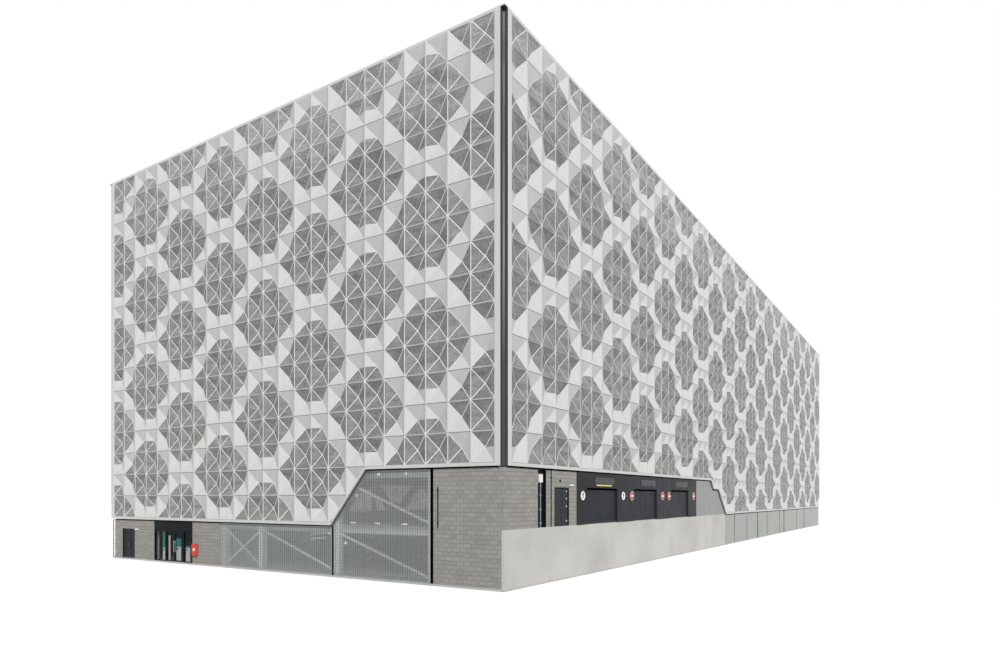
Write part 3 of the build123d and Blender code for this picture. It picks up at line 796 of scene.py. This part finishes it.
# Near-black paint that stands in for shade: painted shadow in gaps and under the lintels.
painted_shadow_black = coated_finish("painted_shadow_black", grey(0.002), roughness=0.95, dirt=0, shine=0)
red_paint = coated_finish("red_paint", (0.55, 0.055, 0.04), roughness=0.3)
yellow_paint = coated_finish("yellow_paint", (0.80, 0.66, 0.12))
sign_white = coated_finish("sign_white", (0.85, 0.85, 0.84), roughness=0.3)
sign_red = coated_finish("sign_red", (0.50, 0.05, 0.05), roughness=0.3)
sign_dark = coated_finish("sign_dark", (0.05, 0.05, 0.055), roughness=0.3)
# Painted light: the teal heads of the pay machines glow though they are no lamps.
teal_panel_painted_light = coated_finish("teal_panel_painted_light", (0.04, 0.32, 0.26), roughness=0.3)
teal_panel_painted_light.glow(0.25)
lamp_white = coated_finish("lamp_white", (0.85, 0.85, 0.84), roughness=0.3)
lamp_white.glow(0.55)
# Painted light: the white cases of the pay machines glow though they are no lamps.
case_white_painted_light = coated_finish("case_white_painted_light", (0.80, 0.81, 0.80), roughness=0.3)
case_white_painted_light.glow(0.30)
print("Painted metals ready")

# %% A metal with a painted highlight, a metal with a pattern of its own, and glass
slat_pitch = 0.0045
slat_height = 0.0008
halfway = 1.56
painted_highlight_reach = 0.5
painted_highlight_tone = (0.175, 0.172, 0.185, 1)
smooth_glass, smear_roughness, smear_scale = 0.03, 0.06, 9.0
glass_cover, glass_shine = 0.25, 0.12

channel_middle = coated_finish("channel_middle", (0.046, 0.045, 0.053))
# Painted highlight: the corner's middle strip is paler round half height, a soft reflection
# painted into its colour.
painted_highlight = channel_middle.ramp(abs(channel_middle.z - halfway), painted_highlight_reach, 0)
channel_middle.paint(painted_highlight, painted_highlight_tone)

shutter_metal = coated_finish("shutter_metal", (0.011, 0.013, 0.021), shine=0.11)
slat = (shutter_metal.z / slat_pitch).to_edge() * 2
shutter_metal.raise_surface(slat, slat_height)

lobby_glass = Finish("lobby_glass", (0.012, 0.022, 0.022), smooth_glass)
smears = lobby_glass.ramp(lobby_glass.noise(smear_scale, detail=5.0), 0.45, 0.8)
lobby_glass.set("Roughness", smooth_glass + smears * smear_roughness)
lobby_glass.set("Alpha", glass_cover)
lobby_glass.set("Specular IOR Level", glass_shine)
print("Glass and patterned metals ready")

# %% Finishes on the CAD nodes
finish_of_slot = {
    "concrete": concrete,
    "pale_concrete": pale_concrete,
    "blockwork": blockwork,
    "galvanised_steel": galvanised,
    "folded_metal": plain_sheet,
    "white_trim": white_trim,
    "dark_metal": dark_metal,
    "pale_metal": pale_metal,
    "shutter_metal": shutter_metal,
    "pale_panel": pale_panel,
    "lobby_glazing": lobby_glass,
    "door_steel": door_steel,
    "red_paint": red_paint,
}
finish_of_node = {
    "roof_deck": roof_concrete,
    "head_house_roofs": pale_concrete,
    "copings": coping_metal,
    "corner_channels": channel_metal,
    "plinth_panels": plinth_panel,
    "wind_braces": brace_with_painted_sunlight,
    "perimeter_columns": column_zinc_with_painted_sunlight,
}
for node in ("lobby_fascia", "lobby_posts", "lobby_rails", "lobby_door_left",
             "lobby_door_right", "recess_panel"):
    finish_of_node[node] = lobby_metal

for entry in frame["record"]["subparts"]:
    node = entry["node"]
    finish = finish_of_node.get(node, finish_of_slot[entry["material_slot"]])
    shell = frame["nodes"][node].data
    shell.materials.clear()
    shell.materials.append(finish.material)
print(len(frame["nodes"]), "CAD nodes have a finish")

# %% [markdown]
# ## Welded mesh
# Where the ground falls away the lowest storey is closed by welded wire in flat steel frames.
# The wires are real, thin square bars, so the decks and columns show between them. One
# street bay ends under the slope of the screen, so its upright wires get shorter there.

# %% Bars and wires
wire_pitch = 0.0056
thin_wire, stiff_wire = 0.0009, 0.0018
rear_thin_wire = 0.0019
frame_width = 0.006
frame_front, frame_back = 0.017, 0.023
wire_front, wire_back = 0.0193, 0.0207
stiff_every = 3
sill_height = 0.01
wall_drop = 0.15
ground_row = rows_to_ground - sill_height / panel_height
lower_wall_row = lowest_row + wall_drop
upper_wall_row = upper_rows + wall_drop


def add_bar(mesh, side, start, end, width, behind, material=0):
    """A flat bar on a wall from one place to another."""
    first = sides[side] @ Vector((*start, -behind[0]))
    last = sides[side] @ Vector((*end, -behind[0]))
    along = last - first
    outward = sides[side].col[2].xyz
    through = outward * (behind[1] - behind[0])
    add_cube(mesh, from_columns(along, along.normalized().cross(outward) * width, through,
                                (first + last) / 2 - through / 2), material)


def wires(start, end, unit, thin):
    """Each wire's place between two frames, its two edges and its finish."""
    count = max(1, round((end - start) / (wire_pitch / unit)))
    for number in range(1, count):
        place = start + (end - start) * number / count
        is_stiff = number % stiff_every == 2
        half = (stiff_wire if is_stiff else thin) / 2 / unit
        yield place, around(place, half), int(is_stiff)


def add_wire_mesh(mesh, side, panels, top_row, slope=None, thin=thin_wire):
    """Wires and frame between two uprights; slope gives the two ends of a sloping top."""
    left, right = panels

    def head(panel):
        """The row where the upright wire of a panel starts."""
        if slope is None or panel <= slope[0][0]:
            return top_row
        return along_line(panel, *slope[0], *slope[1])

    def reach(row):
        """The panel where the level wire of a row ends."""
        if slope is None or row >= slope[1][1]:
            return right
        return along_line(row, *slope[0][::-1], *slope[1][::-1])

    for panel, edges, material in wires(left, right, panel_width, thin):
        add_block(mesh, side, edges, (head(panel), ground_row), (wire_front, wire_back),
                  material)
    for row, edges, material in wires(top_row, ground_row, panel_height, thin):
        add_block(mesh, side, (left, reach(row)), edges, (wire_back, wire_back + thin),
                  material)
    corners = [(left, ground_row), (right, ground_row), (right, head(right))]
    if slope:
        corners.append(slope[0])
    corners.append((left, top_row))
    inside = frame_width / 2 / panel_width, frame_width / 2 / panel_height
    middle = ((left + right) / 2, (top_row + ground_row) / 2)
    shrunk = [(x + math.copysign(inside[0], middle[0] - x),
               y + math.copysign(inside[1], middle[1] - y)) for x, y in corners]
    for start, end in zip(shrunk, shrunk[1:] + shrunk[:1]):
        add_bar(mesh, side, start, end, frame_width, (frame_front, frame_back), 2)


# %% The mesh bays
mesh_start, mesh_joint, mesh_end = 2.8, 7.9, 15.15
mesh_joint_gap = 0.02
north_mesh_bays = [(6.0, 20.0), (28.0, 42.0), (50.0, 58.0)]
east_mesh_bay = (6.0, 18.0)

mesh = bmesh.new()
add_wire_mesh(mesh, "west", (mesh_start, mesh_joint), upper_wall_row,
              slope=[(6.0, upper_wall_row), (mesh_joint, lower_wall_row)])
add_wire_mesh(mesh, "west", (mesh_joint + mesh_joint_gap, mesh_end), lower_wall_row)
finish_piece("street_wire_mesh", mesh, (wire_zinc, stiff_zinc, frame_zinc),
             replaces=["mesh_screens"])

rear_bays = [("north", (long_side_panels - end, long_side_panels - start))
             for start, end in north_mesh_bays] + [("east", east_mesh_bay)]
mesh = bmesh.new()
for side, panels in rear_bays:
    add_wire_mesh(mesh, side, panels, lower_wall_row, thin=rear_thin_wire)
finish_piece("rear_wire_mesh", mesh, (wire_zinc, stiff_zinc, frame_zinc),
             replaces=["rear_mesh_screens"])

# %% Guard rails behind the rear mesh
rail_rows = [(17.18, 17.34), (17.46, 17.62), (17.74, 17.90)]
rail_depth = (0.0235, 0.0262)
mesh = bmesh.new()
for side, panels in rear_bays:
    for rows in rail_rows:
        add_block(mesh, side, panels, rows, rail_depth)
finish_piece("guard_rails", mesh, (frame_zinc,))

# %% [markdown]
# ## The entrance wall
# Three roller shutters stand in a dark wall. On each pier are round traffic signs: white
# ones with an arrow, and red ones with a white bar, both plain shapes that any car park
# has. The places of the lettering above stay bare, as plain plates with fixings.

# %% Traffic signs
portal_front = 0.010
plate_reach, print_reach, top_reach = 0.0015, 0.0020, 0.0025
sign_row = 15.02
white_signs = [5.35, 9.35]
red_signs = [10.35, 14.35, 15.3, 19.35]
white_sign_radius = 0.0258
red_sign_radius = 0.0295
red_share = 0.92
arrow_foot, arrow_neck, arrow_tip = 0.11, -0.09, -0.11
barb_reach, barb_row = 0.07, -0.02
shaft_width, barb_width = 0.006, 0.005
bar_reach, bar_width = 0.14, 0.010
plate = in_front(portal_front, plate_reach)
printed = in_front(portal_front, print_reach, plate_reach)
on_top = in_front(portal_front, top_reach, print_reach)

mesh = bmesh.new()
for panel in white_signs:
    add_disc(mesh, "south", panel, sign_row, white_sign_radius, plate)
    add_bar(mesh, "south", (panel, sign_row + arrow_foot),
            (panel, sign_row + arrow_neck), shaft_width, printed, 2)
    for barb in around(panel, barb_reach):
        add_bar(mesh, "south", (barb, sign_row + barb_row),
                (panel, sign_row + arrow_tip), barb_width, printed, 2)
for panel in red_signs:
    add_disc(mesh, "south", panel, sign_row, red_sign_radius, plate)
    add_disc(mesh, "south", panel, sign_row, red_sign_radius * red_share, printed, 1)
    left, right = around(panel, bar_reach)
    add_bar(mesh, "south", (left, sign_row), (right, sign_row), bar_width, on_top)
finish_piece("traffic_signs", mesh, (sign_white, sign_red, sign_dark))

# %% Bare plates in place of the lettering
name_plates = [(6.45, 8.35), (11.45, 13.3), (16.4, 18.25)]
plate_rows = (14.30, 14.56)
height_bar = (6.6, 8.1), (14.59, 14.64)
fixing_inset, fixing_row, fixing_radius = 0.06, 14.43, 0.0018
fixing_depth = in_front(portal_front, 0.0023, plate_reach)

mesh = bmesh.new()
for start, end in name_plates:
    add_block(mesh, "south", (start, end), plate_rows, plate)
    for panel in (start + fixing_inset, end - fixing_inset):
        add_disc(mesh, "south", panel, fixing_row, fixing_radius, fixing_depth, 1, segments=12)
add_block(mesh, "south", *height_bar, plate, 2)
finish_piece("bare_name_plates", mesh, (channel_metal, pale_metal, yellow_paint))

# %% Shutter guides, bottom rails and a strip of painted shadow above
shutters = [(5.7, 8.7), (10.6, 13.5), (15.6, 18.4)]
lintel_row = 14.72
street_row = 16.1
guide_width = 0.05
guide_depth = (0.0150, 0.0190)
bottom_rail_depth = (0.0155, 0.0190)
bottom_rail_rows = (street_row - 0.07, street_row)
painted_shadow_rows = (lintel_row, lintel_row + 0.08)

mesh = bmesh.new()
for start, end in shutters:
    between = (start + guide_width, end - guide_width)
    for guide in ((start, between[0]), (between[1], end)):
        add_block(mesh, "south", guide, (lintel_row, street_row), guide_depth)
    add_block(mesh, "south", between, bottom_rail_rows, bottom_rail_depth)
    # Painted shadow: a near-black strip under each lintel, where the shutter's head lies in
    # shade.
    add_block(mesh, "south", between, painted_shadow_rows, guide_depth, 1)
finish_piece("shutter_rails", mesh, (door_steel, painted_shadow_black))

# %% [markdown]
# ## Small things on the street walls
# Pipes, lamps, buttons and handles are small, but the eye looks for them at street level.
# Each one stands on the wall, pole or beam that carries it.

# %% Pipes and brackets
wall_front = 0.0135
bracket_reach, bracket_half_rows = 0.03, 0.015
bracket_depth = (0.0078, wall_front)
clip_panels, clip_half_rows = (24.01, 24.09), 0.03
clip_depth = (0.0045, wall_front)

mesh = bmesh.new()
add_pipe(mesh, "south", 2.80, (14.15, street_row), radius=0.0024, behind=0.0108)
add_pipe(mesh, "west", 2.50, (14.75, street_row), radius=0.0026, behind=0.0105)
for side, panel, bracket_rows in (("south", 2.8, (14.4, 15.1, 15.8)),
                                  ("west", 2.5, (14.85, 15.9))):
    for row in bracket_rows:
        add_block(mesh, side, around(panel, bracket_reach),
                  around(row, bracket_half_rows), bracket_depth)
finish_piece("dark_pipes", mesh, (dark_metal,))

mesh = bmesh.new()
add_pipe(mesh, "west", 24.05, (16.12, 17.92), radius=0.0042, behind=0.0090)
for row in (16.35, 17.0, 17.7):
    add_block(mesh, "west", clip_panels, around(row, clip_half_rows), clip_depth)
finish_piece("white_downpipe", mesh, (white_plastic,))

# %% Rain pipe in the recess
pipe_panel = 2.12
recess_back = 0.0245
hopper_top, hopper_foot = 14.30, 14.58
hopper_front, hopper_back = 0.015, 0.023
hopper_reach, rim_reach, rim_rows = 0.115, 0.122, 0.03
holder_reach, holder_half_rows, holder_front = 0.05, 0.02, 0.0160

mesh = bmesh.new()
add_pipe(mesh, "south", pipe_panel, (hopper_foot, street_row), radius=0.0027,
         behind=0.0195, material=1)
add_block(mesh, "south", around(pipe_panel, hopper_reach), (hopper_top, hopper_foot),
          (hopper_front, hopper_back))
add_block(mesh, "south", around(pipe_panel, rim_reach),
          (hopper_top, hopper_top + rim_rows), (hopper_front, recess_back))
for row in (15.0, 15.5, 15.95):
    add_block(mesh, "south", around(pipe_panel, holder_reach),
              around(row, holder_half_rows), (holder_front, recess_back), 1)
finish_piece("round_rain_pipe", mesh, (white_plastic, pipe_metal),
             replaces=["rainwater_pipe"])

# %% Recess lining and plinth posts
recess_end = 2.45
lining_width = 0.012
post_depth = in_front(wall_front, 0.0015)

mesh = bmesh.new()
add_block(mesh, "south", (recess_end - lining_width, recess_end),
          (14.15, street_row), (wall_front, recess_back))
finish_piece("recess_lining", mesh, (lobby_metal,))

mesh = bmesh.new()
for panel, half in ((35.0, 0.16), (45.0, 0.16), (55.0, 0.16), (28.3, 0.05), (31.7, 0.05),
                    (38.3, 0.05), (43.0, 0.06), (51.0, 0.05)):
    add_block(mesh, "south", around(panel, half), (lower_wall_row, ground_row), post_depth)
finish_piece("plinth_posts", mesh, (sign_dark,))

# %% Lamps
lamp_front, round_lamp_front = 0.0055, 0.0095
rounding = 0.0008

mesh = bmesh.new()
add_block(mesh, "south", (4.28, 4.52), (14.62, 14.68), (lamp_front, wall_front))
add_block(mesh, "west", (21.88, 22.12), (16.54, 16.60), (lamp_front, wall_front))
add_disc(mesh, "south", 3.5, 14.5, 0.007, (round_lamp_front, wall_front), 1)
bmesh.ops.bevel(mesh, geom=mesh.edges, offset=rounding, segments=2,
                profile=0.5, affect="EDGES", material=-1)
finish_piece("wall_lamps", mesh, (white_plastic, dark_metal))

# %% Door furniture
steel_leaf_front, lobby_leaf_front = 0.0175, 0.017
handle_reach = 0.0035
handle_depth = in_front(steel_leaf_front, handle_reach)
button_depth = in_front(steel_leaf_front, 0.0015)
button_panel, button_radius = 4.05, 0.0042
button_rows = (14.87, 15.13, 15.40, 15.92)
lock_rows = (15.42, 15.45)
louvred_handle_rows = (17.20, 17.42)
stud_depth = in_front(lobby_leaf_front, handle_reach)
bar_radius, stud_radius = 0.0011, 0.0009

mesh = bmesh.new()
for row in button_rows:
    add_disc(mesh, "south", button_panel, row, button_radius, button_depth, segments=16)
add_block(mesh, "south", (3.68, 3.78), lock_rows, handle_depth, 1)
finish_piece("south_door_right_furniture", mesh, (white_plastic, sign_dark),
             body="south_door_right")

mesh = bmesh.new()
add_block(mesh, "south", (3.50, 3.60), lock_rows, handle_depth)
finish_piece("south_door_left_furniture", mesh, (sign_dark,), body="south_door_left")

for leaf, panels in (("louvred_door_right", (22.69, 22.72)),
                     ("louvred_door_left", (22.83, 22.86))):
    mesh = bmesh.new()
    add_block(mesh, "west", panels, louvred_handle_rows, handle_depth)
    finish_piece(leaf + "_handle", mesh, (channel_metal,), body=leaf)

for leaf, panel in (("lobby_door_right", 18.66), ("lobby_door_left", 18.79)):
    mesh = bmesh.new()
    add_pipe(mesh, "west", panel, (17.0, 17.5), bar_radius, stud_depth[0])
    for row in (17.05, 17.45):
        add_disc(mesh, "west", panel, row, stud_radius, stud_depth, segments=12)
    finish_piece(leaf + "_handle", mesh, (pale_metal,), body=leaf)

# %% [markdown]
# ## Behind the wire and in the corner
# Lamps hang from the deck on thin rods behind the mesh, and short strip lamps sit on the
# deck's edge. A near-black strip of painted shadow fills the gap between the white trim and the
# walls, which draws the shadow line round the building. A strip runs up the middle of the
# corner notch, with a painted highlight that makes it paler round half height.

# %% Lamps behind the mesh
lamp_depth = 0.064
rod_radius = 0.0010
hanging_lamps = [(6.91, 14.23, 15.01), (7.50, 16.23, 16.75), (8.45, 16.23, 16.42)]
globe_radius, globe_reach = 0.0085, 0.004
strip_lamps = [7.97, 7.08, 5.76, 4.39]
strip_lamp_row = 16.0
strip_lamp_reach, strip_lamp_depth = 0.12, in_front(lamp_depth, 0.006)
beam_lamps = [5.46, 4.08]
beam_lamp_reach, beam_lamp_depth = 0.045, (0.0235, 0.0275)
beam_lamp_rows = around(14.27, 0.05)

mesh = bmesh.new()
for panel, soffit, row in hanging_lamps:
    add_pipe(mesh, "west", panel, (soffit, row), rod_radius, lamp_depth, 1)
    add_disc(mesh, "west", panel, row, globe_radius, around(lamp_depth, globe_reach))
for panel in strip_lamps:
    add_block(mesh, "west", around(panel, strip_lamp_reach),
              (strip_lamp_row - 0.02, strip_lamp_row + 0.03), strip_lamp_depth)
    add_pipe(mesh, "west", panel, (strip_lamp_row, street_row), rod_radius, lamp_depth, 1)
for panel in beam_lamps:
    add_block(mesh, "west", around(panel, beam_lamp_reach), beam_lamp_rows, beam_lamp_depth)
finish_piece("deck_lamps", mesh, (lamp_white, galvanised))

# %% Black strips of painted shadow
trim_rows = 0.1
step_strip_rows, slope_strip_rows = 0.08, 0.035
step_strip_depth = (0.0120, 0.0140)
strip_depth = (0.0140, 0.0150)
post_strip_depth = (0.0145, 0.0165)
straight_strips = [("south", (-0.05, 22.6), upper_rows),
                   ("south", (26, long_side_panels), lowest_row),
                   ("west", (-0.05, 6), upper_rows),
                   ("west", (7.9, short_side_panels), lowest_row),
                   ("north", (0, long_side_panels), lowest_row),
                   ("east", (0, short_side_panels), lowest_row)]
post_strips = [((2.675, 2.86), upper_wall_row), ((7.83, 7.90), lower_wall_row)]


def add_sloping_strip(mesh, side, start, end, height, behind):
    """A strip with upright ends whose long edges follow a line on the wall."""
    middle = Vector(((start[0] + end[0]) / 2, (start[1] + end[1] + height) / 2,
                     -sum(behind) / 2))
    shape = Matrix(((end[0] - start[0], 0, 0, 0), (end[1] - start[1], height, 0, 0),
                    (0, 0, behind[1] - behind[0], 0), (0, 0, 0, 1)))
    add_cube(mesh, sides[side] @ Matrix.Translation(middle) @ shape)


# Painted shadow: near-black strips in the gaps under the trims, along the step and the slope,
# and up two posts, where there is only shade.
mesh = bmesh.new()
for side, edge, strip_rows in (("south", south_step, step_strip_rows),
                               ("west", west_slope, slope_strip_rows)):
    for start, end in zip(edge, edge[1:]):
        add_sloping_strip(mesh, side, (start[0], start[1] + trim_rows),
                          (end[0], end[1] + trim_rows), strip_rows, step_strip_depth)
for side, panels, edge_row in straight_strips:
    add_block(mesh, side, panels, (edge_row + trim_rows, edge_row + wall_drop), strip_depth)
for panels, top_row in post_strips:
    add_block(mesh, "west", panels, (top_row, ground_row), post_strip_depth)
finish_piece("painted_shadow_strips", mesh, (painted_shadow_black,))

# %% Corner strips
corner_strip_width = 0.0095
notch = 0.0225
trim_height = 0.015
ceiling_thickness = 0.0015
inset = notch - ceiling_thickness
ceiling = Matrix.Diagonal((inset, inset, ceiling_thickness, 1))
eighth_turn = Matrix.Rotation(math.radians(45), 4, "Z")
high = rows_to_ground * panel_height - ceiling_thickness

mesh = bmesh.new()
for x, y, foot_row in ((-1, -1, upper_rows), (1, -1, lowest_row), (1, 1, lowest_row),
                       (-1, 1, lowest_row)):
    low = (rows_to_ground - foot_row) * panel_height - trim_height
    middle = Vector((x * (half_length - notch), y * (half_width - notch), (low + high) / 2))
    above = Vector((x * (half_length - notch / 2), y * (half_width - notch / 2),
                    high + ceiling_thickness / 2))
    strip_shape = Matrix.Diagonal((corner_strip_width, corner_strip_width, high - low, 1))
    add_cube(mesh, Matrix.Translation(above) @ ceiling, 1)
    add_cube(mesh, Matrix.Translation(middle) @ eighth_turn @ strip_shape)
finish_piece("corner_middle_strips", mesh, (channel_middle, channel_metal))

# %% [markdown]
# ## Machines in the lobby
# Pay machines stand behind the glass: white cases with a teal head and a small dark screen.
# Their cases and heads glow faintly as painted light, and give the dark lobby its light and
# coloured patches.

# %% Pay machines
machine_front = 0.034
pay_machines = [(19.80, 19.95, 16.62, 17.35, 0.037), (18.60, 18.80, 16.92, 17.28, 0.050),
                (17.86, 18.02, 17.22, 17.30, 0.050)]
screen_inset, screen_top, screen_foot = 0.04, 0.05, 0.13
screen_depth = in_front(machine_front, 0.001)
panel_depth = (machine_front, 0.037)
reader_depth = (machine_front, 0.036)

mesh = bmesh.new()
for start, end, top_row, head_row, back in pay_machines:
    case = (machine_front, back)
    add_block(mesh, "west", (start, end), (head_row, ground_row), case)
    add_block(mesh, "west", (start, end), (top_row, head_row), case, 1)
    add_block(mesh, "west", (start + screen_inset, end - screen_inset),
              (head_row + screen_top, head_row + screen_foot), screen_depth, 2)
add_block(mesh, "west", (19.34, 19.45), (16.80, ground_row), panel_depth)
add_block(mesh, "west", (18.98, 19.03), (17.02, 17.12), reader_depth)
add_block(mesh, "west", (18.99, 19.02), (17.12, ground_row), reader_depth, 2)
finish_piece("pay_machines", mesh, (case_white_painted_light, teal_panel_painted_light, sign_dark))

# %% Cabinet front
front_depth, label_depth = (0.0003, 0.0015), (0.0, 0.0003)

mesh = bmesh.new()
add_block(mesh, "west", (16.83, 17.17), (17.12, 17.56), front_depth)
add_block(mesh, "west", (16.93, 17.07), (17.27, 17.38), label_depth, 1)
add_disc(mesh, "west", 16.87, 17.34, 0.0015, label_depth, 2, segments=12)
finish_piece("cabinet_front", mesh, (red_paint, sign_white, pale_metal))
